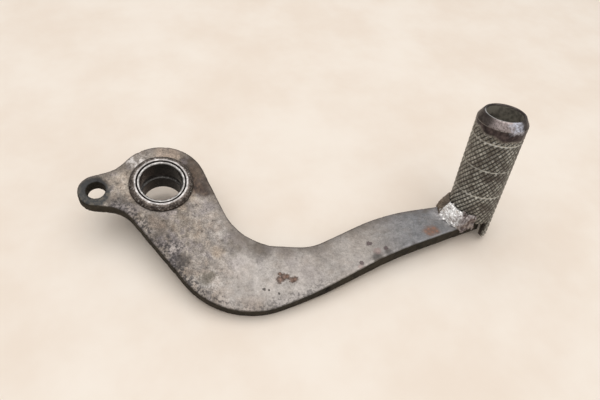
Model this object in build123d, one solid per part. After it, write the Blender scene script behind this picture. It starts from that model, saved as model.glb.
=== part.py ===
"""Motorcycle gear shift lever: a plate lever with a bushed pivot boss, a rod eye and a knurled toe peg.

Millimetres. The origin is on the pivot axis, halfway through the plate. +Z is the pivot axis,
pointing away from the engine. +X points towards the toe peg, and the arm dips to -Y between them.
"""
import os
from math import acos, atan2, cos, radians, sin, sqrt

from build123d import *

# Plate
PLATE_T = 5.0                   # thickness of the steel plate
EDGE_R = 0.7                    # worn radius along every plate edge
HEAD_R = 16.1                   # round head about the pivot

# Rod eye
EYE_CENTRE = (-21.65, -5.06)
EYE_R = 6.2
EYE_HOLE_D = 6.2
EYE_CHAMFER = 0.35
NECK_UPPER_ANGLE = 24.0         # slope of the neck's upper edge where it leaves the eye
NECK_HOLLOW_R = 14.0            # hollow where that edge runs into the head
NECK_SHOULDER_R = 12.0          # round shoulder where the lower edge turns into the leg

# Arm: each edge of the plate is a run of straight lines and arcs, seen along +Z
NEAR_CORNERS = [(25.9, -50.9), (55.8, -38.5), (84.9, -21.7), (127.0, -3.3)]
NEAR_BEND_R = [29.7, 169.0, 200.0]
FAR_CORNERS = [(55.7, -19.6), (84.0, -3.2), (127.0, 6.3)]
FAR_BEND_R = [20.4, 20.8, 83.0]
LEG_WIDTH = 25.9
LEG_LENGTH = 28.1               # down the near edge, from the head to where the arm begins to bend
FAR_KNEE = 25.1                 # the far edge turns into line with the leg this far down
FAR_KNEE_R = 21.7
FAR_FIRST_CORNER = 37.9         # and has its first corner round the crook this far down
TWIST = 21.7                    # the plate turns this far about its middle line
TWIST_SPAN = (12.2, 69.9)       # between these distances past the leg
TIP_RISE = 1.2                  # and its middle line climbs this much
RISE_SPAN = (54.0, 112.0)
ARM_LENGTH = 117.0              # drawn past the peg, which the plate is then cut back to
ARM_SECTIONS = 30               # sections that the arm is lofted through

# Pivot boss and bushes
BORE_D = 15.0
BUSH_OD = 16.6
BUSH_LENGTH = 6.9
BUSH_INSET = 0.2                # each bush ends this far inside the boss
BUSH_CHAMFER = 0.3
BOSS_LENGTH = 17.2
FLANGE_T = 1.7                  # the flange stands on the plate's upper face
BOSS_OD = 20.0
BOSS_CHAMFER = 0.6              # at its lower end
FLANGE_OD = 22.6
FLANGE_EDGE = 0.4               # upright edge of the flange under its round shoulder
FLANGE_RIM_D = 18.6             # outside of the flat end ring
RIM_GROOVE_D = 17.7             # inside of it, at the top of the groove round the bush
RIM_GROOVE_DEPTH = 1.2
BOSS_WELD_LEG = 2.4

# Toe peg
PEG_BASE = (119.4, -2.3, -2.4)  # centre of its lower end
PEG_LEAN = 23.9
PEG_LEAN_TOWARDS = 102.6        # direction of the lean about +Z, from +X
NOTCH_TOWARDS = 18.0            # direction about +Z that the uncut side of its foot faces
PEG_OD = 18.0
PEG_BORE_D = 12.9
PEG_LENGTH = 50.2
PEG_BEVEL = 2.7                 # height of the bevel at the open end
PEG_RIM = 0.9                   # wall left at the end of the bevel
NOTCH_HEIGHT = 7.4              # step cut in the lower end, which the plate stands in
NOTCH_PAST_AXIS = 1.9
PLATE_PAST_AXIS = 1.4           # the plate stops this far past the peg's axis
WELD_RUN = 4.0                  # foot of the toe weld along the plate
WELD_RISE = 6.4                 # its height up the peg
WELD_ROOT = 5.2                 # its lowest level, measured up the peg
WELD_WIDTH = 16.4
WELD_CROWN = 0.5                # swelling of its face
BEAD_SPLIT = 2.5                # the rear bead starts this far behind the peg's axis

PLATE_TOP = PLATE_T / 2
PLATE_BOTTOM = -PLATE_T / 2
BOSS_TOP = PLATE_TOP + FLANGE_T
BOSS_FOOT = BOSS_TOP - BOSS_LENGTH


def smooth(value, span):
    """0 before the span, 1 after it, and level at both ends."""
    start, end = span
    u = min(max((value - start) / (end - start), 0.0), 1.0)
    return u * u * (3 - 2 * u)


def tangent_point(x, y, side):
    """Where the line from (x, y) touches the head, on its left (+1) or right (-1) seen from there."""
    angle = atan2(y, x) + side * acos(HEAD_R / sqrt(x * x + y * y))
    return (HEAD_R * cos(angle), HEAD_R * sin(angle))


def leg_point(down, over):
    """A point this far down the leg from where its near edge touches the head, and this far over it."""
    start = Vector(*tangent_point(*NEAR_CORNERS[0], -1))
    along = (Vector(*NEAR_CORNERS[0]) - start).normalized()
    place = start + along * down + Vector(-along.Y, along.X) * over
    return (place.X, place.Y)


def arm_lines():
    """The arm's near edge, its far edge and the line midway between their corners."""
    near = [leg_point(LEG_LENGTH, 0)] + NEAR_CORNERS
    far = [leg_point(LEG_LENGTH, LEG_WIDTH), leg_point(FAR_FIRST_CORNER, LEG_WIDTH)] + FAR_CORNERS
    middle = [((a[0] + b[0]) / 2, (a[1] + b[1]) / 2) for a, b in zip(near, far)]
    middle_r = [(a + b) / 2 for a, b in zip(NEAR_BEND_R, FAR_BEND_R)]
    return [FilletPolyline(*corners, radius=radii)
            for corners, radii in ((near, NEAR_BEND_R), (far, FAR_BEND_R), (middle, middle_r))]


NEAR_EDGE, FAR_EDGE, ARM_PATH = arm_lines()


def crossing(edge, place, along):
    """Where an edge of the arm crosses the plane through place that faces along."""
    low, high = 0.0, 1.0
    for _ in range(40):
        middle = (low + high) / 2
        if (edge @ middle - place).dot(along) < 0:
            low = middle
        else:
            high = middle
    return edge @ low


def arm_section(s):
    """Cross-section of the arm at distance s past the leg, turned by the twist."""
    place = ARM_PATH @ (s / ARM_PATH.length)
    along = ARM_PATH % (s / ARM_PATH.length)
    near = crossing(NEAR_EDGE, place, along)
    far = crossing(FAR_EDGE, place, along)
    twist = radians(TWIST) * smooth(s, TWIST_SPAN)
    over = (far - near).normalized()
    centre = (near + far) / 2 + Vector(0, 0, TIP_RISE * smooth(s, RISE_SPAN))
    width = (far - near).length / cos(twist)
    plane = Plane(origin=centre, x_dir=over * cos(twist) - Vector(0, 0, sin(twist)), z_dir=along)
    return plane * RectangleRounded(width, PLATE_T, EDGE_R)


def line_at_height(start, end, y):
    """Point at height y on the line through start and end."""
    share = (y - start[1]) / (end[1] - start[1])
    return (start[0] + share * (end[0] - start[0]), y)


def neck_meets_head(start, slope):
    """Where a line from start, rising at slope, enters the head."""
    x, y = start
    b = x * cos(slope) + y * sin(slope)
    reach = -b - sqrt(b * b - (x * x + y * y - HEAD_R * HEAD_R))
    return (x + reach * cos(slope), y + reach * sin(slope))


def head_outline():
    """Flat outline of the head, the rod eye and the leg down to the belly."""
    far_knee = leg_point(FAR_KNEE, LEG_WIDTH)
    far_touch = tangent_point(*far_knee, 1)
    far_end = leg_point(LEG_LENGTH, LEG_WIDTH)
    near_end = leg_point(LEG_LENGTH, 0)
    near_touch = leg_point(0, 0)
    leg_points = [far_touch, far_knee, far_end, near_end, near_touch, (0, 0)]
    leg = make_face(Polyline(*leg_points, close=True))

    slope = radians(NECK_UPPER_ANGLE)
    eye_x, eye_y = EYE_CENTRE
    upper_start = (eye_x - EYE_R * sin(slope), eye_y + EYE_R * cos(slope))
    upper_end = (upper_start[0] + HEAD_R * cos(slope), upper_start[1] + HEAD_R * sin(slope))
    shoulder = line_at_height(near_touch, near_end, eye_y - EYE_R)
    neck_points = [upper_start, upper_end, (0, 0), shoulder, (eye_x, eye_y - EYE_R), EYE_CENTRE]
    neck = make_face(Polyline(*neck_points, close=True))

    outline = Circle(HEAD_R) + leg + neck + Pos(eye_x, eye_y) * Circle(EYE_R)
    blends = [
        (far_knee, FAR_KNEE_R),
        (shoulder, NECK_SHOULDER_R),
        (neck_meets_head(upper_start, slope), NECK_HOLLOW_R),
    ]
    for place, radius in blends:
        outline = fillet(outline.vertices().sort_by_distance((*place, 0))[0], radius)
    return outline


def lever_plate():
    """One plate: flat head, eye and leg, then an arm that twists as it runs to the toe."""
    head = Pos(0, 0, PLATE_BOTTOM) * extrude(head_outline(), PLATE_T)
    joint = Plane(origin=ARM_PATH @ 0, z_dir=ARM_PATH % 0)
    rims = head.faces().sort_by(Axis.Z)[0].edges() + head.faces().sort_by(Axis.Z)[-1].edges()
    rims = [edge for edge in rims if abs(joint.to_local_coords(edge @ 0.5).Z) > 0.01]
    head = fillet(rims, EDGE_R)

    arm = loft([arm_section(i * ARM_LENGTH / ARM_SECTIONS) for i in range(ARM_SECTIONS + 1)])

    plate = head + arm - past_axis(PLATE_PAST_AXIS)
    plate -= Cylinder(BOSS_OD / 2, 2 * PLATE_T)
    eye = Pos(*EYE_CENTRE)
    plate -= eye * Cylinder(EYE_HOLE_D / 2, 2 * PLATE_T)
    mouth = EYE_HOLE_D / 2 + EYE_CHAMFER
    sink = Cone(EYE_HOLE_D / 2, mouth, EYE_CHAMFER, align=(Align.CENTER, Align.CENTER, Align.MAX))
    for turn in (0, 180):
        plate -= eye * Rot(turn, 0, 0) * Pos(0, 0, PLATE_T / 2) * sink
    return plate


def peg_plane():
    """Frame of the peg: z up its axis, x towards the uncut side of its foot."""
    lean = radians(PEG_LEAN)
    towards = radians(PEG_LEAN_TOWARDS)
    up = Vector(sin(lean) * cos(towards), sin(lean) * sin(towards), cos(lean))
    along = Vector(cos(radians(NOTCH_TOWARDS)), sin(radians(NOTCH_TOWARDS)), 0)
    return Plane(origin=PEG_BASE, x_dir=along - up * along.dot(up), z_dir=up)


def past_axis(distance):
    """Everything beyond a plane across the arm, this far past the peg's axis."""
    size = 3 * PEG_OD
    return peg_plane() * Pos(distance + size / 2, 0, 0) * Box(size, size, size)


def toe_peg():
    """Hollow peg, bevelled at its open end and stepped at the lower end to take the plate."""
    outer = PEG_OD / 2
    bore = PEG_BORE_D / 2
    wall = [
        (bore, 0),
        (outer, 0),
        (outer, PEG_LENGTH - PEG_BEVEL),
        (bore + PEG_RIM, PEG_LENGTH),
        (bore, PEG_LENGTH),
    ]
    tube = revolve(Plane.XZ * make_face(Polyline(*wall, close=True)), Axis.Z)
    step = Pos(NOTCH_PAST_AXIS - PEG_OD, 0, 0) * Box(2 * PEG_OD, 2 * PEG_OD, 2 * NOTCH_HEIGHT)
    return peg_plane() * (tube - step)


def toe_weld(plate, peg):
    """Fillet of weld metal between the plate's upper face and the peg."""
    outer = PEG_OD / 2
    top = WELD_ROOT + WELD_RISE
    crown = (outer + WELD_RUN / 2 + WELD_CROWN, WELD_ROOT + WELD_RISE / 2 + WELD_CROWN)
    toe = (outer + WELD_RUN, WELD_ROOT)
    edge = Line((outer - 1, WELD_ROOT), toe) + ThreePointArc(toe, crown, (outer, top))
    edge += Line((outer, top), (outer - 1, top)) + Line((outer - 1, top), (outer - 1, WELD_ROOT))
    ring = revolve(Plane.XZ * make_face(edge), Axis.Z)
    core = Pos(0, 0, PEG_LENGTH / 2) * Cylinder(outer, PEG_LENGTH)
    side = Pos(-PEG_OD, 0, 0) * Box(2 * PEG_OD, WELD_WIDTH, 4 * WELD_RISE)
    return peg_plane() * ((ring - core) & side) - plate - peg


def split_beads(weld):
    """The weld's two passes: one on the near side and top, one behind."""
    size = 3 * PEG_OD
    behind = peg_plane() * Pos(0, BEAD_SPLIT + size / 2, 0) * Box(size, size, size)
    return weld - behind, weld & behind


def pivot_boss():
    """Turned boss with a round-shouldered flange on top of the plate."""
    seat = BUSH_OD / 2
    body = BOSS_OD / 2
    rim = FLANGE_RIM_D / 2
    flange = FLANGE_OD / 2
    shoulder = (flange, PLATE_TOP + FLANGE_EDGE)
    groove_foot = (seat, BOSS_TOP - RIM_GROOVE_DEPTH)
    profile = Polyline(groove_foot, (RIM_GROOVE_D / 2, BOSS_TOP), (rim, BOSS_TOP))
    profile += TangentArc((rim, BOSS_TOP), shoulder, tangent=(1, 0))
    profile += Polyline(
        shoulder, (flange, PLATE_TOP), (body, PLATE_TOP),
        (body, BOSS_FOOT + BOSS_CHAMFER), (body - BOSS_CHAMFER, BOSS_FOOT),
        (seat, BOSS_FOOT), groove_foot)
    return revolve(Plane.XZ * make_face(profile), Axis.Z)


def boss_weld():
    """Ring of weld that holds the boss to the underside of the plate."""
    body = BOSS_OD / 2
    inside = (body, PLATE_BOTTOM)
    along_plate = (body + BOSS_WELD_LEG, PLATE_BOTTOM)
    down_boss = (body, PLATE_BOTTOM - BOSS_WELD_LEG)
    return revolve(Plane.XZ * make_face(Polyline(inside, along_plate, down_boss, close=True)), Axis.Z)


def bush(top):
    sleeve = Cylinder(BUSH_OD / 2, BUSH_LENGTH) - Cylinder(BORE_D / 2, BUSH_LENGTH)
    mouths = sleeve.edges().filter_by(GeomType.CIRCLE).sort_by(SortBy.RADIUS)[:2]
    return Pos(0, 0, top - BUSH_LENGTH / 2) * chamfer(mouths, BUSH_CHAMFER)


def main():
    plate = lever_plate()
    peg = toe_peg()
    front_bead, rear_bead = split_beads(toe_weld(plate, peg))
    nodes = {
        "lever_plate": plate,
        "pivot_boss": pivot_boss(),
        "boss_weld": boss_weld(),
        "upper_pivot_bush": bush(BOSS_TOP - BUSH_INSET),
        "lower_pivot_bush": bush(BOSS_FOOT + BUSH_INSET + BUSH_LENGTH),
        "toe_peg": peg,
        "toe_weld_front": front_bead,
        "toe_weld_rear": rear_bead,
    }
    os.makedirs("parts", exist_ok=True)
    for name, shape in nodes.items():
        export_step(shape, f"parts/{name}.step")


main()
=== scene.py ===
"""Motorcycle gear shift lever: detailed meshes, worn steel materials, table, light and camera.

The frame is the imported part's own, in metres: the origin is on the pivot axis, halfway through the
plate, +Z runs along that axis and +X towards the toe peg. Meshes and patterns are worked out in
millimetres, and MM turns them into metres.
"""
from math import acos, cos, radians, sin, tau

import bmesh
import bpy
import numpy as np
from mathutils import Matrix, Vector, noise
from mathutils.kdtree import KDTree


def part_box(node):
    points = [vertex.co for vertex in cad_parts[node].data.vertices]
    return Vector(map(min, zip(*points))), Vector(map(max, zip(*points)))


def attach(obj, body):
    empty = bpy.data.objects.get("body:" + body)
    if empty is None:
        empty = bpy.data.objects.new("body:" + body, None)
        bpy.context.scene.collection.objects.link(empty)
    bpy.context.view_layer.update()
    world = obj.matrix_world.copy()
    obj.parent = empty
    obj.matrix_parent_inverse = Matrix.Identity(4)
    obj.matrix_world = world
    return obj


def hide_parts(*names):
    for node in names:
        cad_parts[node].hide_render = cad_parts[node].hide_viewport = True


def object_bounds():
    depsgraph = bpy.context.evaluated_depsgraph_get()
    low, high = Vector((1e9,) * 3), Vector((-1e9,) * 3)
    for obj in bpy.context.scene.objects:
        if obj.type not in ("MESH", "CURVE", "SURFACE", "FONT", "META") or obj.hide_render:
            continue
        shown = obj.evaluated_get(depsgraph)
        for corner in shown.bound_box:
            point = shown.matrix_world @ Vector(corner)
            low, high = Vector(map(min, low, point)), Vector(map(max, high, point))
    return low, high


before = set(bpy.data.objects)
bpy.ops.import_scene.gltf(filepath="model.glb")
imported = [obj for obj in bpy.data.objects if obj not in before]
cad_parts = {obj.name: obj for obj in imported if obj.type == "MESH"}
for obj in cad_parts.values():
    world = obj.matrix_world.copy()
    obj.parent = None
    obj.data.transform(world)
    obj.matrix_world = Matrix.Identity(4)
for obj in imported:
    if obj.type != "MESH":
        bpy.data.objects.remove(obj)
cad_low, cad_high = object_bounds()
MM = 0.001

# Toe peg, as in the part's own source
PEG_BASE = (119.4, -2.3, -2.4)
PEG_LEAN = 23.9
PEG_LEAN_TOWARDS = 102.6
NOTCH_TOWARDS = 18.0            # direction about +Z that the uncut side of its foot faces
PEG_R = 9.0
PEG_BORE_R = 6.45
PEG_LENGTH = 50.2
PEG_BEVEL = 2.7
PEG_RIM = 0.9
NOTCH_HEIGHT = 7.4
NOTCH_PAST_AXIS = 1.9
WALL_TOP = PEG_LENGTH - PEG_BEVEL

# Boss and bushes, as in the part's own source
BORE_R = 7.5
BOSS_R = 10.0
BOSS_TOP = 4.2
FLANGE_RIM_R = 9.3              # outside of the flange's flat end ring
RIM_GROOVE_R = 8.85             # inside of it

# Detailed meshes: widths of their cells
PLATE_CELL = 0.34
TOE_WELD_CELL = 0.14
BOSS_WELD_CELL = 0.2
BORE_ROWS = 24                  # rows of points down the peg's bore

# Parts of the peg's skin, as its material tells them apart
PART_WALL = 0.0
PART_BEVEL = 1.0
PART_LIP = 1.5
PART_BORE = 2.0

# Knurl
KNURL_STARTS = 30               # grooves each way round the peg
KNURL_REPEAT = 2.22             # height of one diamond
KNURL_DEPTH = 0.42
KNURL_FLAT = 0.3                # share of each pitch left flat on top
KNURL_WEAK_HAND = 0.7           # depth of one of the two sets of grooves, as a share of the other's
KNURL_TOP = 47.6                # the knurl fades out into a plain collar here
KNURL_FADE = 1.2
COLLAR_DIP = 4.0                # the collar comes this much lower on one side
COLLAR_DIP_AT = -0.32           # which is at this many turns
SAMPLES = 10                    # mesh steps in one diamond, each way
RING_HEIGHTS = (19.5, 30.7, 41.5)
RING_WIDTH = 0.5
RING_DEPTH = 0.3

# Table: the plane under the boss's foot, the belly's edge and the peg's foot
TABLE_TILT = 13.46
TABLE_TILT_TOWARDS = 111.8

# Plate
WELD_FRONT = (108.5, -1.0)      # x and y in millimetres where the front weld runs out on it
NICK = (0.586, 0.175)           # shares of its length and width

# Soft stains on its upper face: x and y, full and fading radius, raggedness, strength and colour
PLATE_STAINS = [
    ((13.5, 7.5), 6.5, 11.0, 3.0, 0.96, (60, 50, 42)),
    ((15.5, 0.5), 3.5, 5.5, 2.0, 0.92, (62, 51, 46)),
    ((15.0, -8.5), 2.0, 6.5, 2.5, 0.6, (164, 155, 148)),
    ((-13.5, -1.5), 2.0, 6.0, 2.0, 0.8, (163, 152, 140)),
    ((0.0, 14.0), 2.5, 6.5, 3.0, 0.8, (172, 156, 142)),
    ((-12.5, -10.5), 1.5, 4.5, 3.5, 0.7, (80, 75, 73)),
    ((3.0, -21.5), 2.0, 6.5, 4.0, 0.75, (98, 90, 84)),
    ((9.5, -29.0), 1.5, 4.5, 3.0, 0.8, (76, 70, 66)),
    ((28.0, -20.5), 2.0, 6.5, 3.0, 0.75, (100, 91, 82)),
    ((36.0, -22.5), 1.5, 5.5, 3.0, 0.85, (92, 84, 76)),
    ((46.0, -23.0), 1.0, 4.5, 2.5, 0.5, (128, 118, 108)),
    ((22.0, -24.5), 1.0, 3.5, 1.5, 0.5, (136, 118, 98)),
    ((78.6, -23.4), 1.0, 3.2, 1.6, 0.8, (66, 62, 58)),
    ((83.0, -21.2), 0.6, 2.4, 1.4, 0.7, (72, 68, 65)),
    ((93.2, -17.2), 0.6, 2.2, 1.4, 0.6, (74, 70, 68)),
    ((35.0, -43.0), 1.0, 4.5, 2.0, 0.5, (138, 124, 112)),
    ((30.0, -30.0), 2.0, 6.0, 2.5, 0.4, (184, 175, 169)),
    ((51.0, -28.0), 2.0, 8.0, 3.0, 0.4, (180, 171, 165)),
    ((70.0, -19.0), 3.0, 10.0, 3.0, 0.65, (182, 174, 167)),
    ((20.0, -35.5), 1.5, 5.0, 3.5, 0.5, (186, 180, 175)),
]

# Kinds of spots: colour outside and in the middle, full and fading radius per size, strength
SPOT_KINDS = {
    "rust": ((76, 60, 51), (128, 100, 86), 0.7, 1.3, 0.88),
    "orange": ((142, 112, 96), (186, 128, 98), 0.2, 2.6, 0.75),
    "purple": ((92, 80, 80), (112, 96, 96), 0.7, 1.3, 0.88),
    "pink": ((150, 128, 124), (176, 152, 144), 0.7, 1.3, 0.55),
    "pit": ((80, 74, 70), (56, 52, 50), 0.7, 1.3, 0.88),
    "moss": ((84, 78, 66), (70, 64, 54), 0.7, 2.0, 0.7),
}

# Spots on its upper face: shares of its length and width, size in millimetres, and kind
PLATE_SPOTS = [
    (0.477, 0.230, 0.7, "rust"),
    (0.488, 0.215, 1.4, "rust"),
    (0.494, 0.219, 0.9, "rust"),
    (0.477, 0.195, 1.3, "rust"),
    (0.505, 0.196, 1.2, "rust"),
    (0.512, 0.204, 1.1, "rust"),
    (0.843, 0.559, 0.8, "orange"),
    (0.853, 0.582, 0.9, "orange"),
    (0.859, 0.554, 1.0, "orange"),
    (0.867, 0.588, 0.9, "orange"),
    (0.872, 0.564, 0.8, "orange"),
    (0.849, 0.539, 0.7, "orange"),
    (0.695, 0.463, 1.1, "purple"),
    (0.713, 0.404, 1.4, "pink"),
    (0.733, 0.427, 0.8, "purple"),
    (0.670, 0.320, 0.9, "purple"),
    (0.665, 0.295, 0.8, "pink"),
    (0.441, 0.134, 0.55, "pit"),
    (0.452, 0.131, 0.4, "pit"),
    (0.475, 0.113, 0.4, "pit"),
    (0.310, 0.170, 1.6, "moss"),
    (0.322, 0.195, 1.0, "moss"),
]

# Camera: the point it looks at and its distance in millimetres, and its angles in degrees
AIM = (51.2, 0.1, 0.0)
DISTANCE = 195.8
AZIMUTH = -19.13
ELEVATION = 59.02
ROLL = 22.0
LENS = 30.9


def smoothstep(value, low, high):
    u = np.clip((value - low) / (high - low), 0.0, 1.0)
    return u * u * (3 - 2 * u)


# ---------------------------------------------------------------- meshes


def add_object(name, mesh):
    piece = bpy.data.objects.new(name, mesh)
    bpy.context.scene.collection.objects.link(piece)
    return piece


def vertex_array(mesh, what="co"):
    """The mesh's points in millimetres, or its vertex normals, as an array of rows."""
    out = np.empty(len(mesh.vertices) * 3)
    if what == "co":
        mesh.vertices.foreach_get("co", out)
        return out.reshape(-1, 3) / MM
    mesh.vertex_normals.foreach_get("vector", out)
    return out.reshape(-1, 3)


def set_points(mesh, points):
    mesh.vertices.foreach_set("co", (points * MM).astype(np.float32).ravel())
    mesh.update()


def paint(mesh, name, values):
    """Stores one number per vertex, which the materials read by name."""
    layer = mesh.attributes.new(name, "FLOAT", "POINT")
    layer.data.foreach_set("value", np.asarray(values, np.float32))


def shade(mesh, crease):
    mesh.shade_smooth()
    mesh.set_sharp_from_angle(angle=radians(crease))


def even_cells(piece, cell):
    """Makes a piece's mesh even, with cells this many millimetres wide."""
    remesh = piece.modifiers.new("cells", "REMESH")
    remesh.mode = "VOXEL"
    remesh.voxel_size = cell * MM
    depsgraph = bpy.context.evaluated_depsgraph_get()
    mesh = bpy.data.meshes.new_from_object(piece.evaluated_get(depsgraph))
    piece.modifiers.clear()
    piece.data = mesh
    mesh.materials.clear()


def dense_copy(node, name, cell):
    """A copy of a CAD node's shape as an even mesh."""
    piece = add_object(name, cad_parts[node].data.copy())
    even_cells(piece, cell)
    return piece


def rough(points, size, octaves, seed):
    """Fractal noise between about -1 and 1, with features this many millimetres wide."""
    shift = Vector((seed, -seed, 2 * seed))
    scale = 1 / size
    return np.array([noise.fractal(Vector(p) * scale + shift, 0.7, 2.0, octaves) for p in points])


# ---------------------------------------------------------------- toe peg


def peg_frame():
    """Matrix from the peg's own millimetres, z up its axis and x away from the arm."""
    lean = radians(PEG_LEAN)
    towards = radians(PEG_LEAN_TOWARDS)
    up = Vector((sin(lean) * cos(towards), sin(lean) * sin(towards), cos(lean)))
    arm = Vector((cos(radians(NOTCH_TOWARDS)), sin(radians(NOTCH_TOWARDS)), 0))
    out = (arm - up * arm.dot(up)).normalized()
    side = up.cross(out)
    return Matrix.Translation(PEG_BASE) @ Matrix((out, side, up)).transposed().to_4x4()


def knurl(angle, height):
    """Groove depth from 0 to 1 of a diamond knurl with worn tips, at angles in turns."""
    deepest = np.zeros(np.broadcast(angle, height).shape)
    for hand, share in ((1, KNURL_WEAK_HAND), (-1, 1.0)):
        phase = angle * KNURL_STARTS + hand * height / KNURL_REPEAT
        away = np.abs(phase - np.round(phase)) * 2
        deepest = np.maximum(deepest, share * np.clip(1 - away / (1 - KNURL_FLAT), 0, 1))
    return deepest


def turned_from(local, bearing):
    """Degrees between each point's bearing about its local z axis and a given one."""
    turned = np.degrees(np.arctan2(local[:, 1], local[:, 0])) - bearing
    return np.abs((turned + 180) % 360 - 180)


def outer_wall(turns, heights):
    """Radius, groove, ring mark and plainness of the wall, as rows of heights by columns of turns.

    The knurl's upper end wanders by less than a millimetre and dips on one side.
    """
    angle, height = np.meshgrid(turns, heights)
    wander = 0.45 * np.sin(tau * (3 * angle + height / 31))
    wander = wander + 0.35 * np.sin(tau * (8 * angle - height / 17))
    dip = COLLAR_DIP * (0.5 + 0.5 * np.cos(tau * (angle - COLLAR_DIP_AT))) ** 2
    fade = smoothstep(KNURL_TOP + wander - dip - height, -KNURL_FADE / 2, KNURL_FADE)
    ring = np.zeros_like(height)
    for place in RING_HEIGHTS:
        line = 1 - smoothstep(np.abs(height - place), RING_WIDTH * 0.3, RING_WIDTH * 0.6)
        ring = np.maximum(ring, line)
    groove = knurl(angle, height) * fade * (1 - ring)
    pressed = 1 - 0.25 * np.sin(tau * (3 * angle + 0.2)) * np.sin(height / 7)
    radius = PEG_R - 0.03 - KNURL_DEPTH * groove * pressed - RING_DEPTH * ring
    return radius, groove, ring, 1 - fade


def peg_row(turns, radius, height, groove=0.0, ring=0.0, plain=0.0, part=PART_WALL):
    """A row of points round the peg: radius, height, turns, and the marks that its material reads."""
    values = (radius, height, turns, groove, ring, plain, part)
    return np.array([np.broadcast_to(np.asarray(value, float), len(turns)) for value in values])


def wall_rows(turns, heights):
    """Rows of the knurled wall."""
    radius, *marks = outer_wall(turns, heights)
    return [peg_row(turns, radius[j], height, *(mark[j] for mark in marks))
            for j, height in enumerate(heights)]


def end_rows(turns, inner_turns):
    """Rows of the bevel, the rim and the lip of the bore at the open end."""
    rim = PEG_BORE_R + PEG_RIM
    slope = (PEG_R - rim) / PEG_BEVEL
    rows = []
    for share in (0.0, 0.12, 0.3, 0.5, 0.7, 0.9):
        step_in = 0.06 * (share == 0)
        radius = PEG_R - step_in - slope * share * PEG_BEVEL
        rows.append(peg_row(turns, radius, WALL_TOP + share * PEG_BEVEL, part=PART_BEVEL))
    for radius, height, part in ((rim + 0.03, PEG_LENGTH - 0.09, PART_BEVEL),
                                 (rim - 0.12, PEG_LENGTH, PART_BEVEL),
                                 (PEG_BORE_R + 0.3, PEG_LENGTH, PART_LIP),
                                 (PEG_BORE_R, PEG_LENGTH - 0.3, PART_LIP)):
        rows.append(peg_row(inner_turns, radius, height, part=part))
    return rows


def bore_rows(turns, heights):
    """Rows of the bore."""
    return [peg_row(turns, PEG_BORE_R, height, part=PART_BORE) for height in heights]


def strip(upper, lower):
    """Faces between two equally long rows of point numbers."""
    return np.stack([lower[:-1], lower[1:], upper[1:], upper[:-1]], 1).tolist()


def peg_faces(starts, last, tongue, columns):
    """Faces of the peg's skin.

    The rows up to the last one go all the way round. Below them come the tongue's rows, first down its
    outside and then down its inside.
    """
    faces = []
    around = np.arange(columns + 1) % columns
    for j in range(last):
        faces += strip(starts[j + 1] + around, starts[j] + around)
    across = np.arange(len(tongue))
    below = [start + across for start in starts[last + 1:-1]]
    outer = [starts[0] + tongue] + below[:len(below) // 2]
    inner = [starts[last] + tongue] + below[len(below) // 2:]
    for j in range(len(outer) - 1):
        faces += strip(outer[j], outer[j + 1])
        faces += strip(inner[j + 1], inner[j])
    faces += strip([row[0] for row in outer], [row[0] for row in inner])
    faces += strip([row[-1] for row in inner], [row[-1] for row in outer])
    faces += strip(outer[-1], inner[-1])
    notch = np.arange(tongue[-1], tongue[0] + columns + 1) % columns
    return faces + strip(starts[0] + notch, starts[last] + notch)


def paint_peg_wear_and_highlights(mesh, points):
    """Marks the bevel's scuff, and the side that gets painted highlights: on the ring lines, the scuff,
    the bevel and the bore's lip.
    """
    # Ring lines: painted highlight, strongest on the side towards bearing -100 degrees.
    paint(mesh, "ring_shine", 1 - 0.6 * smoothstep(turned_from(points, -100), 40, 90))
    # A scuff at the top of the wall, painted bluish-white as a highlight.
    from_scuff = turned_from(points, -94) + 12 * rough(points, 2, 3, 4.4)
    height = points[:, 2] + 0.8 * rough(points, 1.6, 2, 6.1)
    scuff_and_glint = (1 - smoothstep(from_scuff, 6, 22)) * smoothstep(height, WALL_TOP - 1.6, WALL_TOP - 0.2)
    paint(mesh, "scuff_and_glint", scuff_and_glint)
    # One side of the bevel painted lighter: painted light.
    from_lit_side = turned_from(points, -125) + 10 * rough(points, 4, 2, 1.4)
    paint(mesh, "worn_and_lit", 1 - smoothstep(from_lit_side, 18, 48))
    # The bore's lip: painted highlight on one side.
    paint(mesh, "lip", 1 - smoothstep(turned_from(points, -165), 35, 70))


def peg_mesh():
    """Closed skin of the hollow peg: knurled wall, bevel, rim, bore, and the tongue below the notch."""
    columns = KNURL_STARTS * SAMPLES
    step = KNURL_REPEAT / SAMPLES
    edge = round(acos(NOTCH_PAST_AXIS / PEG_R) / tau * columns)
    inner_edge = acos(NOTCH_PAST_AXIS / PEG_BORE_R) / tau
    tongue = np.arange(columns // 2 - edge, columns // 2 + edge + 1)
    turns = (np.arange(columns) - columns // 2) / columns
    inner_turns = np.interp(turns, [-0.5, -edge / columns, edge / columns, 0.5],
                            [-0.5, -inner_edge, inner_edge, 0.5])
    wall_heights = np.linspace(NOTCH_HEIGHT, WALL_TOP - 0.3, round((WALL_TOP - NOTCH_HEIGHT) / step))
    bore_heights = np.linspace(PEG_LENGTH - 0.6, NOTCH_HEIGHT, BORE_ROWS)
    tongue_heights = np.linspace(NOTCH_HEIGHT, 0, round(NOTCH_HEIGHT / step))[1:]

    rows = wall_rows(turns, wall_heights) + end_rows(turns, inner_turns)
    rows += bore_rows(inner_turns, bore_heights)
    last = len(rows) - 1
    rows += wall_rows(turns[tongue], tongue_heights)
    rows += bore_rows(inner_turns[tongue], tongue_heights)
    starts = np.cumsum([0] + [row.shape[1] for row in rows])
    radius, height, angle, groove, ring, plain, part = np.concatenate(rows, 1)
    points = np.stack([radius * np.cos(tau * angle), radius * np.sin(tau * angle), height], 1)

    mesh = bpy.data.meshes.new("toe_peg_knurled")
    place = np.array(peg_frame())
    world = points @ place[:3, :3].T + place[:3, 3]
    mesh.from_pydata((world * MM).tolist(), [], peg_faces(starts, last, tongue, columns))
    for name, values in (("groove", groove), ("ring", ring), ("plain", plain), ("part", part)):
        paint(mesh, name, values)
    paint_peg_wear_and_highlights(mesh, points)
    shade(mesh, 38)
    return mesh


# ---------------------------------------------------------------- materials


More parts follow.
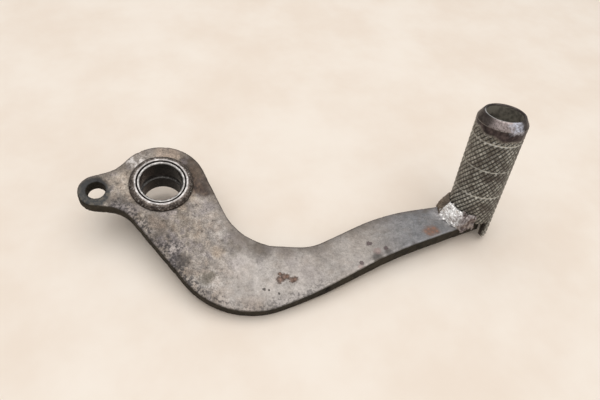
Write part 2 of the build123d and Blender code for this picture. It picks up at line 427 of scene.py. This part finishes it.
def srgb(red, green, blue):
    """A colour as it looks on a screen, 0 to 255, as the shader's linear values."""
    linear = [((c / 255 + 0.055) / 1.055) ** 2.4 if c > 10 else c / 3295 for c in (red, green, blue)]
    return (*linear, 1.0)


class Recipe:
    """One node material. Each call adds a node and returns the socket it makes."""

    def __init__(self, name):
        self.material = bpy.data.materials.new(name)
        self.material.use_nodes = True
        self.tree = self.material.node_tree
        self.shader = self.tree.nodes["Principled BSDF"]
        coordinates = self.node("ShaderNodeTexCoord")
        self.place = self.vector("SCALE", coordinates.outputs["Object"], scale=1 / MM)

    def node(self, kind, **settings):
        made = self.tree.nodes.new(kind)
        for name, value in settings.items():
            setattr(made, name, value)
        return made

    def put(self, socket, value):
        if isinstance(value, bpy.types.NodeSocket):
            self.tree.links.new(value, socket)
        else:
            socket.default_value = value

    def vector(self, operation, a, b=None, scale=None):
        made = self.node("ShaderNodeVectorMath", operation=operation)
        self.put(made.inputs[0], a)
        if b is not None:
            self.put(made.inputs[1], b)
        if scale is not None:
            self.put(made.inputs["Scale"], scale)
        return made.outputs["Value" if operation in ("LENGTH", "DISTANCE") else "Vector"]

    def maths(self, operation, a, b):
        made = self.node("ShaderNodeMath", operation=operation)
        self.put(made.inputs[0], a)
        self.put(made.inputs[1], b)
        return made.outputs[0]

    def plus(self, a, b):
        return self.maths("ADD", a, b)

    def minus(self, a, b):
        return self.maths("SUBTRACT", a, b)

    def times(self, a, b):
        return self.maths("MULTIPLY", a, b)

    def most(self, a, b):
        return self.maths("MAXIMUM", a, b)

    def noise(self, size, detail, roughness, place=None, seed=0.0):
        """Fractal noise, about 0.5 on average, with features this many millimetres wide."""
        made = self.node("ShaderNodeTexNoise", noise_dimensions="4D")
        self.put(made.inputs["Vector"], place or self.place)
        self.put(made.inputs["W"], seed)
        self.put(made.inputs["Scale"], 1 / size)
        self.put(made.inputs["Detail"], detail)
        self.put(made.inputs["Roughness"], roughness)
        return made.outputs["Fac"]

    def ramp(self, value, low, high, start=0.0, end=1.0):
        """start below low, end above high, and smooth between them."""
        made = self.node("ShaderNodeMapRange", interpolation_type="SMOOTHSTEP")
        self.put(made.inputs["Value"], value)
        self.put(made.inputs["From Min"], low)
        self.put(made.inputs["From Max"], high)
        self.put(made.inputs["To Min"], start)
        self.put(made.inputs["To Max"], end)
        return made.outputs["Result"]

    def mix(self, share, a, b, blend="MIX"):
        made = self.node("ShaderNodeMix", data_type="RGBA", blend_type=blend)
        self.put(made.inputs["Factor"], share)
        self.put(made.inputs[6], a)
        self.put(made.inputs[7], b)
        return made.outputs[2]

    def attribute(self, name):
        return self.node("ShaderNodeAttribute", attribute_name=name).outputs["Fac"]

    def axis(self, letter):
        """Millimetres along one axis."""
        made = self.node("ShaderNodeSeparateXYZ")
        self.put(made.inputs[0], self.place)
        return made.outputs[letter]

    def from_axis(self):
        """Millimetres from the pivot axis."""
        return self.vector("LENGTH", self.vector("MULTIPLY", self.place, (1, 1, 0)))

    def near(self, point, inner, outer, ragged, size, seed):
        """1 within inner millimetres of a point seen along Z, and 0 beyond outer.

        The edge is ragged by up to this much, in lobes of this size.
        """
        flat = self.vector("MULTIPLY", self.place, (1, 1, 0))
        away = self.vector("DISTANCE", flat, (*point, 0))
        wobble = self.times(self.minus(self.noise(size, 4.0, 0.6, seed=seed), 0.5), 2 * ragged)
        return self.ramp(self.plus(away, wobble), inner, outer, 1.0, 0.0)

    def finish(self, colour, roughness, metallic, height=None, depth=0.1):
        """Connects the shader. depth is the bump's height in millimetres."""
        self.put(self.shader.inputs["Base Color"], colour)
        self.put(self.shader.inputs["Roughness"], roughness)
        self.put(self.shader.inputs["Metallic"], metallic)
        if height is not None:
            bump = self.node("ShaderNodeBump")
            self.put(bump.inputs["Distance"], depth * MM)
            self.put(bump.inputs["Height"], height)
            self.put(self.shader.inputs["Normal"], bump.outputs["Normal"])
        return self.material


def on_plate(along, across):
    """x and y of a point on the plate in millimetres, from shares of its box's length and width."""
    low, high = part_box("lever_plate")
    return (low.x + along * (high.x - low.x)) / MM, (low.y + across * (high.y - low.y)) / MM


def plate_colour(m, broad, medium, upper):
    """Bare grey steel, warmer and darker on the head, bluer towards the toe, and stained in places."""
    x = m.axis("X")
    colour = m.mix(m.ramp(broad, 0.38, 0.62), srgb(151, 143, 136), srgb(168, 161, 155))
    toe_steel = m.mix(m.ramp(medium, 0.35, 0.7), srgb(150, 149, 150), srgb(135, 135, 137))
    colour = m.mix(m.ramp(x, 74.0, 96.0), colour, toe_steel)
    leg = m.times(m.ramp(x, 10.0, 30.0, 1, 0), m.ramp(broad, 0.3, 0.6, 1.0, 0.7))
    leg_steel = m.mix(m.ramp(medium, 0.38, 0.6), srgb(135, 125, 114), srgb(105, 95, 85))
    colour = m.mix(leg, colour, leg_steel)
    for n, (place, full, fade, ragged, share, tone) in enumerate(PLATE_STAINS):
        stain = m.near(place, full, fade, ragged, 2.6, seed=80 + n)
        colour = m.mix(m.times(m.times(stain, share), upper), colour, srgb(*tone))
    # A paler, flecked patch on the plate where the front weld runs out.
    pale_by_weld = m.near(WELD_FRONT, 2.5, 7.5, 3.0, 1.6, seed=13)
    flecks = m.ramp(m.noise(1.0, 3, 0.65, seed=14), 0.4, 0.6, 0.9, 0.35)
    return m.mix(m.times(pale_by_weld, flecks), colour, srgb(206, 202, 202))


def mottled(m, colour, medium, fine, grit):
    """Mottling and dark speckles, strong on the head and leg and faint on the belly and forearm."""
    leg = m.ramp(m.axis("X"), 14.0, 36.0, 1.0, 0.0)
    tints = m.noise(6.0, 3, 0.6, seed=9)
    brown = m.times(m.ramp(tints, 0.5, 0.62), m.ramp(leg, 0, 1, 0.1, 0.2))
    colour = m.mix(brown, colour, srgb(150, 126, 106))
    mauve = m.times(m.ramp(tints, 0.5, 0.4), m.ramp(leg, 0, 1, 0.1, 0.22))
    colour = m.mix(mauve, colour, srgb(152, 144, 150))
    for pattern, quiet, busy in ((medium, 0.7, 0.95), (fine, 0.85, 1.6), (grit, 0.9, 2.3)):
        swing = m.times(m.minus(0.5, pattern), m.ramp(leg, 0, 1, quiet, busy))
        colour = m.mix(1.0, colour, m.plus(1.0, swing), "MULTIPLY")
    speckle = m.times(m.ramp(fine, 0.57, 0.66), m.ramp(leg, 0, 1, 0.15, 0.6))
    return m.mix(speckle, colour, srgb(64, 58, 53))


def edge_grime_and_shade(m, colour, medium):
    """Dark specks gathered along the near edge of the neck and leg, and grime with painted shade along
    the far edge.
    """
    gathered = m.most(m.attribute("near_edge"), m.near((6.0, -25.5), 2.0, 8.0, 3.0, 2.0, seed=15))
    specks = m.ramp(m.noise(0.9, 3, 0.7, seed=16), 0.47, 0.56)
    colour = m.mix(m.times(m.times(gathered, specks), 0.85), colour, srgb(54, 50, 50))
    # Far edge: grime with painted shade where the top face rounds off.
    shade_and_grime = m.times(m.attribute("far_edge_shade"), m.ramp(medium, 0.35, 0.6, 0.75, 0.3))
    return m.mix(shade_and_grime, colour, srgb(104, 95, 87))


def eye_paint(m, colour, fine, painted):
    """Old blue-black paint left round the eye, and painted shade, near black, in the dished ring beside
    the hole.
    """
    paint_left = m.mix(m.ramp(fine, 0.42, 0.62), srgb(44, 44, 44), srgb(92, 85, 74))
    colour = m.mix(painted, colour, paint_left)
    # Painted shade, near black, in the dished ring beside the hole.
    dished = m.near((-22.4, -4.3), 3.6, 5.2, 0.8, 1.6, seed=17)
    return m.mix(m.times(dished, 0.85), colour, srgb(26, 26, 27))


def spotted(m, colour, upper):
    """Rust spots, pits and small stains, each kind with its own colour in the middle."""
    for n, (along, across, size, kind) in enumerate(PLATE_SPOTS):
        outside, middle, solid, blurred, strength = SPOT_KINDS[kind]
        place = on_plate(along, across)
        spot = m.near(place, size * solid, size * blurred, size * 1.2, 0.9, seed=20 + n)
        core = m.near(place, 0.0, size * 0.9, size * 1.2, 0.6, seed=50 + n)
        tone = m.mix(core, srgb(*outside), srgb(*middle))
        colour = m.mix(m.times(spot, m.times(upper, strength)), colour, tone)
    return colour


def wall_paint_and_shade(m, medium):
    """Dark olive paint and painted shade of the side walls, chipped here and there."""
    wall = m.mix(m.ramp(medium, 0.35, 0.7), srgb(60, 54, 45), srgb(38, 35, 29))
    chip = m.ramp(m.noise(1.2, 4, 0.7, seed=8), 0.63, 0.69)
    return m.mix(m.times(chip, 0.45), wall, srgb(110, 102, 92))


def plate_steel():
    """Worn bare steel: mottled grey, stained in places, painted at the eye, rusty in spots, with
    painted shade on its side walls and along their edges.
    """
    m = Recipe("plate_steel")
    upper = m.attribute("upper")
    broad = m.noise(11, 3, 0.55, seed=1)
    medium = m.noise(3.0, 5, 0.65, seed=2)
    fine = m.noise(1.1, 4, 0.7, seed=3)
    grit = m.noise(0.5, 3, 0.7, seed=4)
    colour = plate_colour(m, broad, medium, upper)
    colour = mottled(m, colour, medium, fine, grit)
    colour = edge_grime_and_shade(m, colour, medium)

    # Bright worn patch beside the boss
    patch = m.times(m.near((-9.8, 8.2), 1.4, 4.6, 2.6, 1.4, seed=6), upper)
    patch = m.times(patch, m.ramp(fine, 0.42, 0.54, 0.85, 0.1))
    colour = m.mix(patch, colour, srgb(206, 200, 196))

    painted = m.near((-22.3, -6.6), 4.6, 7.0, 2.6, 1.8, seed=7)
    colour = eye_paint(m, colour, fine, painted)
    colour = spotted(m, colour, upper)
    # Side walls, and the band where the top face rounds into them: dark paint with painted shade.
    from_wall = m.plus(m.attribute("rim"), m.times(medium, 1.2))
    edge = m.most(m.attribute("side"), m.ramp(from_wall, 0.65, 1.35, 0.85, 0))
    colour = m.mix(edge, colour, wall_paint_and_shade(m, medium))
    # Painted shade, near black, in the nick.
    colour = m.mix(m.attribute("nick"), colour, srgb(26, 24, 23))

    metallic = m.times(m.minus(1.0, m.most(edge, painted)), 0.7)
    roughness = m.mix(edge, m.ramp(medium, 0.3, 0.7, 0.4, 0.54), (0.8, 0.8, 0.8, 1.0))
    m.put(m.shader.inputs["Specular IOR Level"], m.ramp(edge, 0, 1, 0.5, 0.12))
    return m.finish(colour, roughness, metallic, m.plus(fine, m.times(grit, 0.6)), 0.07)


def wall_tree(points, tilt):
    """Search tree of the plate's outer side walls, and the numbers of their vertices."""
    walls = np.nonzero(tilt < 0.45)[0]
    walls = walls[np.hypot(points[walls, 0], points[walls, 1]) > BOSS_R + 1]
    tree = KDTree(len(walls))
    for index, place in enumerate(points[walls]):
        tree.insert(place, index)
    tree.balance()
    return tree, walls


def plate_depth(points, rim, away):
    """How far the surface is worn in: pits, waves, nibbled edges and one nick. Flat round the boss."""
    leg = 1 - smoothstep(points[:, 0], 18, 42)
    pits = smoothstep(rough(points, 1.5, 3, 3.1), 0.25, 0.7) * (0.05 + 0.1 * leg)
    waves = 0.03 * (1 + rough(points, 8, 2, 5.3))
    nibbled = smoothstep(rough(points, 4.5, 3, 9.7), 0.2, 0.9) * np.exp(-(rim / 0.9) ** 2) * 0.1
    nick = 0.7 * np.exp(-away ** 2)
    depth = pits + waves + nibbled + nick
    depth[np.hypot(points[:, 0], points[:, 1]) < BOSS_R + 0.2] = 0
    return depth


def paint_plate(mesh, points, normals, rim, faces_far):
    """Marks the upper side, the distance from a side wall, grime by the near edge, and grime with
    painted shade by the far edge.
    """
    paint(mesh, "upper", smoothstep(normals[:, 2], -0.2, 0.2))
    paint(mesh, "rim", rim)
    from_edge = rim + 1.5 * rough(points, 3, 2, 8.8)
    far = smoothstep(faces_far, -0.1, 0.4)
    paint(mesh, "far_edge_shade", far * (1 - smoothstep(from_edge, 0.5, 5.0)))
    along = points[:, 0]
    grimy = smoothstep(along, -19, -14) * (1 - 0.35 * smoothstep(along, 14, 30))
    grimy = grimy * (1 - smoothstep(along, 52, 70))
    near = smoothstep(-faces_far, 0.0, 0.4)
    paint(mesh, "near_edge", near * (1 - smoothstep(from_edge, 1.5, 5.0)) * grimy)


def plate_mesh():
    """The plate as an even mesh, pitted and with worn edges, never outside its CAD shape."""
    piece = dense_copy("lever_plate", "lever_plate_worn", PLATE_CELL)
    mesh = piece.data
    points = vertex_array(mesh)
    normals = vertex_array(mesh, "normal")
    tilt = np.abs(normals[:, 2])
    tree, walls = wall_tree(points, tilt)
    nearest = [tree.find(place) for place in points]
    rim = np.array([found[2] for found in nearest])
    faces_far = normals[walls[[found[1] for found in nearest]], 1]
    nick_x, nick_y = on_plate(*NICK)
    nick_at = points[walls[tree.find((nick_x, nick_y, 2.0))[1]]]
    away = np.linalg.norm(points - nick_at, axis=1)

    set_points(mesh, points - normals * plate_depth(points, rim, away)[:, None])
    paint(mesh, "side", 1 - smoothstep(tilt, 0.5, 0.82))
    paint(mesh, "nick", np.exp(-(away / 1.1) ** 2))
    paint_plate(mesh, points, normals, rim, faces_far)
    shade(mesh, 50)
    return piece


def boss_steel():
    """Turned steel, browned on the flange, with an end ring painted bright as wear and as a highlight,
    and painted shade in the groove beside it and at the flange's foot.
    """
    m = Recipe("boss_steel")
    r = m.from_axis()
    z = m.axis("Z")
    medium = m.noise(2.4, 4, 0.65, seed=31)
    fine = m.noise(0.7, 4, 0.7, seed=32)
    colour = m.mix(m.ramp(medium, 0.38, 0.62), srgb(116, 105, 97), srgb(84, 75, 68))
    colour = m.mix(m.ramp(fine, 0.5, 0.6, 0, 0.85), colour, srgb(50, 45, 42))
    colour = m.mix(m.ramp(fine, 0.34, 0.45, 0.8, 0.0), colour, srgb(200, 195, 190))
    # Painted shade at the flange's foot, where it meets the plate.
    foot_shade = m.ramp(m.plus(z, m.times(medium, 0.5)), BOSS_TOP - 1.3, BOSS_TOP - 0.5, 1.0, 0.0)
    colour = m.mix(m.times(foot_shade, 0.85), colour, srgb(40, 36, 32))
    # End ring painted bright: worn steel, with a painted highlight.
    ragged = m.plus(r, m.times(m.minus(medium, 0.5), 0.9))
    ring = m.times(m.ramp(r, RIM_GROOVE_R, RIM_GROOVE_R + 0.1),
                   m.ramp(ragged, FLANGE_RIM_R - 0.05, FLANGE_RIM_R + 0.35, 1, 0))
    ring = m.times(ring, m.ramp(z, BOSS_TOP - 0.7, BOSS_TOP - 0.3))
    worn_and_lit = m.ramp(m.noise(1.3, 3, 0.6, seed=33), 0.36, 0.54, 1.0, 0.5)
    colour = m.mix(m.times(ring, worn_and_lit), colour, srgb(214, 209, 206))
    # Painted shade in the groove inside the end ring.
    groove = m.times(m.ramp(r, RIM_GROOVE_R - 0.1, RIM_GROOVE_R, 1, 0), m.ramp(z, 1.0, 2.0))
    colour = m.mix(groove, colour, srgb(54, 49, 46))
    metallic = m.ramp(groove, 0, 1, 0.8, 0.2)
    return m.finish(colour, m.ramp(medium, 0.3, 0.7, 0.32, 0.5), metallic, fine, 0.06)


def bush_steel():
    """Oiled steel sleeve: dark and brownish in the bore, worn bright on the inner edge of its end."""
    m = Recipe("bush_steel")
    r = m.from_axis()
    medium = m.noise(2.2, 4, 0.65, seed=41)
    fine = m.noise(0.6, 4, 0.7, seed=42)
    streak = m.noise(1.0, 3, 0.6, place=m.vector("MULTIPLY", m.place, (0.5, 0.5, 3.0)), seed=43)
    rust = m.near((-7.5, 0.5), 2.0, 9.0, 3.0, 3.0, seed=44)
    wall = m.mix(m.ramp(streak, 0.4, 0.62), srgb(38, 35, 31), srgb(20, 18, 17))
    wall = m.mix(m.times(rust, 0.45), wall, srgb(80, 56, 42))
    wall = m.mix(m.ramp(fine, 0.6, 0.7, 0, 0.45), wall, srgb(140, 132, 124))
    face = m.mix(m.ramp(fine, 0.42, 0.6), srgb(104, 98, 93), srgb(62, 57, 53))
    ragged = m.plus(r, m.times(medium, 0.4))
    inner = m.times(m.ramp(ragged, BORE_R + 0.8, BORE_R + 1.0, 1, 0),
                    m.ramp(m.noise(1.5, 3, 0.6, seed=45), 0.36, 0.54, 1.0, 0.4))
    face = m.mix(inner, face, srgb(216, 212, 208))
    colour = m.mix(m.ramp(r, BORE_R + 0.02, BORE_R + 0.1), wall, face)
    return m.finish(colour, m.ramp(medium, 0.3, 0.7, 0.25, 0.42), 0.7, streak, 0.05)


def knurled_colour(m, groove, broad, medium, fine):
    """Grooves darkened as painted shade, light worn tips, a plain dark collar, and ring lines painted
    light, brighter on one side as a painted highlight.
    """
    tip = m.mix(m.ramp(fine, 0.4, 0.6), srgb(206, 204, 196), srgb(134, 131, 121))
    tip = m.mix(m.ramp(medium, 0.4, 0.62, 0.0, 0.75), tip, srgb(102, 96, 86))
    # Painted shade in the grooves.
    hollow = m.mix(m.ramp(medium, 0.4, 0.65), srgb(64, 62, 55), srgb(52, 46, 43))
    colour = m.mix(m.ramp(groove, 0.15, 0.8), tip, hollow)
    colour = m.mix(m.ramp(broad, 0.5, 0.66, 0, 0.6), colour, srgb(66, 56, 50))
    collar = m.mix(m.ramp(medium, 0.4, 0.62), srgb(50, 43, 44), srgb(92, 81, 80))
    colour = m.mix(m.attribute("plain"), colour, collar)
    # Ring lines painted light, brighter on one side as a painted highlight.
    line = m.times(m.times(m.attribute("ring"), m.attribute("ring_shine")),
                   m.ramp(m.noise(2.4, 3, 0.6, seed=63), 0.4, 0.56, 0.15, 0.9))
    return m.mix(line, colour, srgb(204, 204, 198))


def bevel_colour(m, medium, fine):
    """Dark bevel, with painted light making one side lighter."""
    bevel = m.mix(m.ramp(medium, 0.4, 0.6), srgb(66, 58, 55), srgb(88, 80, 76))
    # Painted light on one side of the bevel.
    worn_and_lit = m.times(m.attribute("worn_and_lit"), m.ramp(fine, 0.4, 0.62, 0.9, 0.35))
    bevel = m.mix(worn_and_lit, bevel, srgb(184, 170, 167))
    return m.mix(m.ramp(fine, 0.56, 0.66, 0, 0.6), bevel, srgb(58, 52, 50))


def knurled_steel():
    """The toe peg's steel: knurled wall, scuffed bevel and dull bore, with painted highlights on one
    side of the bevel and of the bore's lip.
    """
    m = Recipe("knurled_steel")
    groove = m.attribute("groove")
    part = m.attribute("part")
    broad = m.noise(6.0, 3, 0.6, seed=60)
    medium = m.noise(2.6, 4, 0.6, seed=61)
    fine = m.noise(0.6, 4, 0.7, seed=62)
    colour = knurled_colour(m, groove, broad, medium, fine)
    colour = m.mix(m.ramp(part, 0.5, 0.9), colour, bevel_colour(m, medium, fine))
    # The scuff: worn metal painted bluish-white as a highlight.
    scuff_and_glint = m.times(m.attribute("scuff_and_glint"), m.ramp(fine, 0.42, 0.58, 1.0, 0.35))
    colour = m.mix(scuff_and_glint, colour, srgb(216, 218, 230))
    # Painted highlight on one side of the bore's lip.
    lip = m.times(m.ramp(part, 1.1, 1.4), m.ramp(part, 1.5, 1.8, 1, 0))
    colour = m.mix(m.times(lip, m.attribute("lip")), colour, srgb(220, 219, 218))
    inside = m.mix(m.ramp(medium, 0.38, 0.62), srgb(140, 134, 122), srgb(92, 87, 79))
    bore = m.ramp(part, 1.55, 1.9)
    colour = m.mix(bore, colour, inside)
    metallic = m.times(m.ramp(groove, 0.1, 0.7, 0.8, 0.35), m.ramp(bore, 0, 1, 1, 0))
    return m.finish(colour, m.ramp(fine, 0.3, 0.7, 0.32, 0.5), metallic, fine, 0.04)


def weld_steel(name, bright, dull, tint):
    """Weld metal: lumpy, painted bright as a highlight where it is clean, and stained over the rest and
    in its hollows.
    """
    m = Recipe(name)
    medium = m.noise(1.8, 4, 0.65, seed=71)
    fine = m.noise(0.5, 4, 0.7, seed=72)
    stained = m.mix(m.ramp(m.attribute("crest"), 0.3, 0.75), srgb(*tint), srgb(*dull))
    bare = m.mix(m.ramp(medium, 0.5, 0.68), srgb(*bright), srgb(*dull))
    # Clean metal painted bright as a highlight.
    clean_glare = m.plus(m.attribute("clean_glare"), m.minus(medium, 0.5))
    colour = m.mix(m.ramp(clean_glare, 0.3, 0.7), stained, bare)
    colour = m.mix(m.ramp(fine, 0.56, 0.68, 0, 0.6), colour, srgb(70, 63, 60))
    return m.finish(colour, m.ramp(fine, 0.3, 0.7, 0.28, 0.5), 0.8, fine, 0.08)


def add_lumps(piece, count, smallest, largest, seed):
    """Sets drops of weld metal into a mesh, which the next even_cells makes one skin again."""
    points = vertex_array(piece.data)
    random = np.random.default_rng(seed)
    solid = bmesh.new()
    solid.from_mesh(piece.data)
    for place in points[random.integers(len(points), size=count)]:
        radius = random.uniform(smallest, largest)
        sunk = place + random.normal(size=3) * 0.3 * radius
        where = Matrix.Translation(Vector(sunk) * MM)
        bmesh.ops.create_icosphere(solid, subdivisions=2, radius=radius * MM, matrix=where)
    solid.to_mesh(piece.data)
    solid.free()


def weld_mesh(node, axis_frame, cell, ripple, swing, lumps=0, glare_at=0.0, glare_width=0.0):
    """A weld pass with drops and with ripples round an axis, clean and painted with a highlight about
    one bearing in degrees.
    """
    piece = dense_copy(node, node + "_bead", cell)
    add_lumps(piece, lumps, 0.35, 0.9, 5)
    even_cells(piece, cell)
    mesh = piece.data
    points = vertex_array(mesh)
    normals = vertex_array(mesh, "normal")
    to_axis = np.linalg.inv(axis_frame)
    local = points @ to_axis[:3, :3].T + to_axis[:3, 3]
    angle = np.arctan2(local[:, 1], local[:, 0])
    reach = np.hypot(local[:, 0], local[:, 1])
    chevron = angle * reach.mean() / ripple + 0.35 * (reach - reach.mean())
    waves = np.sin(tau * chevron + 3.0 * rough(points, 2.5, 2, 2.2))
    uneven = rough(points, 1.7, 3, 7.7)
    height = swing * (0.3 * waves + 0.9 * uneven)
    set_points(mesh, points + normals * (height - 0.6 * swing)[:, None])
    paint(mesh, "crest", 0.5 + height / swing / 2)
    # Painted highlight on clean metal about one bearing.
    clean_glare = smoothstep(turned_from(local, glare_at), 0.6 * glare_width, 1.4 * glare_width + 0.1)
    paint(mesh, "clean_glare", 1 - clean_glare)
    shade(mesh, 60)
    return piece


def set_material(piece, material):
    piece.data.materials.clear()
    piece.data.materials.append(material)


def dress_node(node, material):
    """Gives a CAD node a material in its own slots, without touching its mesh."""
    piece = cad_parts[node]
    for slot in piece.material_slots:
        slot.material = material


# ---------------------------------------------------------------- stage


def table_plane():
    """Normal of the table, and its distance from the origin in metres, at the lever's lowest points."""
    tilt = radians(TABLE_TILT)
    towards = radians(TABLE_TILT_TOWARDS)
    normal = Vector((sin(tilt) * cos(towards), sin(tilt) * sin(towards), cos(tilt)))
    meshes = [node.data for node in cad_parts.values()]
    lowest = min(vertex.co.dot(normal) for mesh in meshes for vertex in mesh.vertices)
    return normal, lowest


def make_table():
    """A plain pale table that is seen from above only."""
    normal, distance = table_plane()
    size = 1.5
    mesh = bpy.data.meshes.new("table")
    corners = [(-size, -size, 0), (size, -size, 0), (size, size, 0), (-size, size, 0)]
    mesh.from_pydata(corners, [], [(0, 1, 2, 3)])
    table = add_object("table", mesh)
    table.rotation_mode = "QUATERNION"
    table.rotation_quaternion = normal.to_track_quat("Z", "Y")
    table.location = normal * distance
    m = Recipe("table")
    broad = m.noise(45, 4, 0.6)
    colour = m.mix(m.ramp(broad, 0.3, 0.7), srgb(241, 226, 210), srgb(248, 237, 224))
    m.finish(colour, 0.6, 0.0)
    see_through = m.node("ShaderNodeBsdfTransparent")
    sides = m.node("ShaderNodeMixShader")
    m.put(sides.inputs["Fac"], m.node("ShaderNodeNewGeometry").outputs["Backfacing"])
    m.put(sides.inputs[1], m.shader.outputs[0])
    m.put(sides.inputs[2], see_through.outputs[0])
    m.put(m.tree.nodes["Material Output"].inputs["Surface"], sides.outputs[0])
    set_material(table, m.material)


def make_light(name, direction, distance, size, power):
    """An area light that looks at the lever's middle from a direction."""
    middle = (cad_low + cad_high) / 2
    light = bpy.data.lights.new(name, "AREA")
    light.shape = "DISK"
    light.size = size
    light.energy = power
    lamp = bpy.data.objects.new(name, light)
    away = Vector(direction).normalized()
    lamp.location = middle + away * distance
    lamp.rotation_mode = "QUATERNION"
    lamp.rotation_quaternion = away.to_track_quat("Z", "Y")
    lamp.visible_camera = False
    bpy.context.scene.collection.objects.link(lamp)


def make_world():
    world = bpy.data.worlds.new("studio")
    world.use_nodes = True
    background = world.node_tree.nodes["Background"]
    background.inputs["Color"].default_value = (1.0, 0.98, 0.96, 1.0)
    background.inputs["Strength"].default_value = 0.46
    bpy.context.scene.world = world


def make_camera():
    camera = bpy.data.cameras.new("camera")
    camera.lens = LENS
    camera.sensor_width = 36.0
    camera.clip_start = 0.01
    holder = bpy.data.objects.new("camera", camera)
    bpy.context.scene.collection.objects.link(holder)
    azimuth = radians(AZIMUTH)
    elevation = radians(ELEVATION)
    back = Vector((sin(azimuth) * cos(elevation), -cos(azimuth) * cos(elevation), sin(elevation)))
    holder.rotation_mode = "QUATERNION"
    turn = back.to_track_quat("Z", "Y")
    holder.rotation_quaternion = turn @ Matrix.Rotation(radians(ROLL), 3, "Z").to_quaternion()
    holder.location = (Vector(AIM) + back * DISTANCE) * MM
    bpy.context.scene.camera = holder


# ---------------------------------------------------------------- assembly


def add_piece(piece, material, node):
    """A detailed piece that stands for a CAD node."""
    set_material(piece, material)
    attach(piece, "root")
    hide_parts(node)


def main():
    make_world()
    make_light("key", (-0.1, 0.3, 1.0), distance=0.8, size=1.3, power=5.6)
    make_light("fill", (0.6, -0.5, 0.8), distance=0.8, size=0.8, power=0.4)
    make_table()
    make_camera()
    bpy.context.scene.view_settings.view_transform = "Standard"

    add_piece(plate_mesh(), plate_steel(), "lever_plate")
    add_piece(add_object("toe_peg_knurled", peg_mesh()), knurled_steel(), "toe_peg")
    peg_axis = np.array(peg_frame())
    pivot_axis = np.eye(4)
    # The front weld's clean side is painted near white as a highlight.
    front = weld_mesh("toe_weld_front", peg_axis, TOE_WELD_CELL, ripple=1.1, swing=0.24,
                      lumps=60, glare_at=178, glare_width=34)
    front_steel = weld_steel("front_weld", (252, 250, 248), (164, 155, 152), (108, 96, 93))
    add_piece(front, front_steel, "toe_weld_front")
    rear = weld_mesh("toe_weld_rear", peg_axis, TOE_WELD_CELL, ripple=1.1, swing=0.3)
    rear_steel = weld_steel("rear_weld", (168, 154, 140), (128, 117, 105), (104, 93, 82))
    add_piece(rear, rear_steel, "toe_weld_rear")
    ring = weld_mesh("boss_weld", pivot_axis, BOSS_WELD_CELL, ripple=1.6, swing=0.15)
    ring_steel = weld_steel("ring_weld", (128, 120, 112), (84, 78, 72), (98, 86, 74))
    add_piece(ring, ring_steel, "boss_weld")
    dress_node("pivot_boss", boss_steel())
    bush = bush_steel()
    dress_node("upper_pivot_bush", bush)
    dress_node("lower_pivot_bush", bush)


main()
